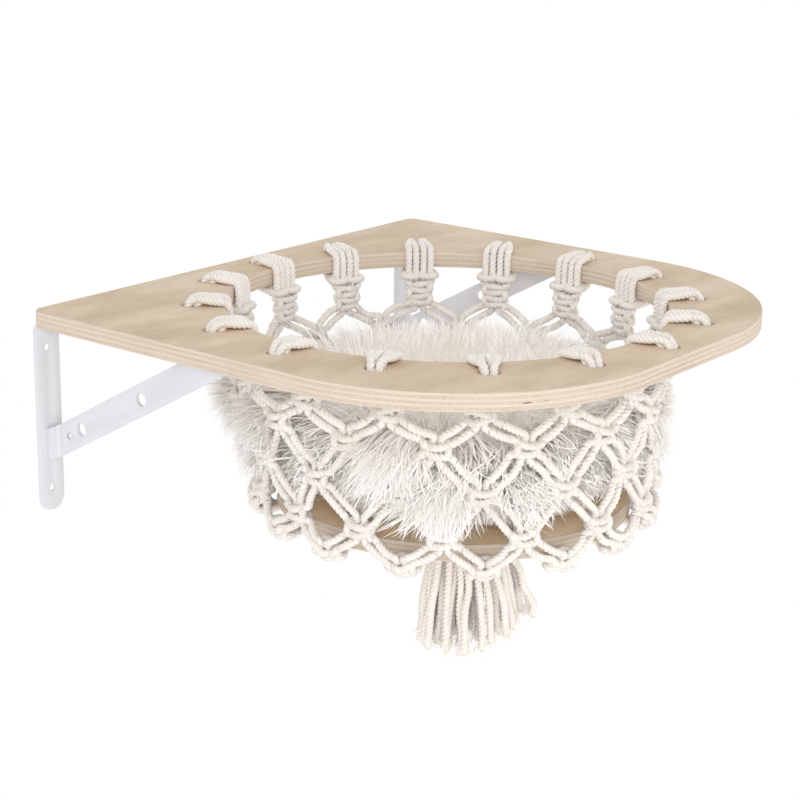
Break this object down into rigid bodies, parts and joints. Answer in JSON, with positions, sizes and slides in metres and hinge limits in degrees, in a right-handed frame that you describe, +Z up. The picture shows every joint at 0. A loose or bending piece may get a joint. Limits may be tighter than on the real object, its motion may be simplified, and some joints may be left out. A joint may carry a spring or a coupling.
{
  "type": "wall-mounted cat bed",
  "caption": "Wall shelf with a round opening and a knotted cotton net that carries a plush cushion, on braced strip brackets; a bed for a cat.",
  "frame": {"origin": "centre of the rectangle of four wall holes, on the wall plane", "axes": "+Z up, +Y into the wall, so the bed stands out towards -Y, and X along the wall"},
  "size_m": [0.45, 0.42, 0.2778],
  "materials": {
    "birch_plywood": "pale birch plywood, clear matt lacquer, sanded edges",
    "white_powder_coat": "white satin powder coat on steel strip",
    "zinc_screw": "bright zinc-plated pan-head screws",
    "cotton_cord": "undyed three-strand twisted cotton cord",
    "faux_fur": "long white shaggy faux fur"
  },
  "bodies": {
    "shelf": {"shelf_panel": "birch_plywood", "bracket_left_plate": "white_powder_coat", "bracket_right_plate": "white_powder_coat", "bracket_left_brace": "white_powder_coat", "bracket_right_brace": "white_powder_coat", "bracket_left_screws": "zinc_screw", "bracket_right_screws": "zinc_screw", "hanger_01": "cotton_cord", "hanger_02": "cotton_cord", "hanger_03": "cotton_cord", "hanger_04": "cotton_cord", "hanger_05": "cotton_cord", "hanger_06": "cotton_cord", "hanger_07": "cotton_cord", "hanger_08": "cotton_cord", "hanger_09": "cotton_cord", "hanger_10": "cotton_cord", "hanger_11": "cotton_cord", "hanger_12": "cotton_cord", "hanger_13": "cotton_cord", "hanger_14": "cotton_cord", "hanger_15": "cotton_cord", "hanger_16": "cotton_cord", "net_row_1": "cotton_cord", "net_row_2": "cotton_cord", "net_row_3": "cotton_cord", "net_row_4": "cotton_cord", "base_spokes": "cotton_cord", "gathering_knot": "cotton_cord"},
    "disc": {"base_disc": "birch_plywood"},
    "cushion": {"fur_cushion": "faux_fur"},
    "tassel": {"tassel_cords": "cotton_cord"}
  },
  "joints": [
    {"name": "disc_lift", "type": "slide", "parent": "shelf", "child": "disc", "axis": [0, 0, 1], "range_m": [0, 0.2]},
    {"name": "cushion_lift", "type": "slide", "parent": "disc", "child": "cushion", "axis": [0, 0, 1], "range_m": [0, 0.2]},
    {"name": "tassel_swing", "type": "hinge", "parent": "shelf", "child": "tassel", "pos_m": [0.012, -0.226, -0.0974], "axis": [1, 0, 0], "range_deg": [-12, 12]}
  ]
}
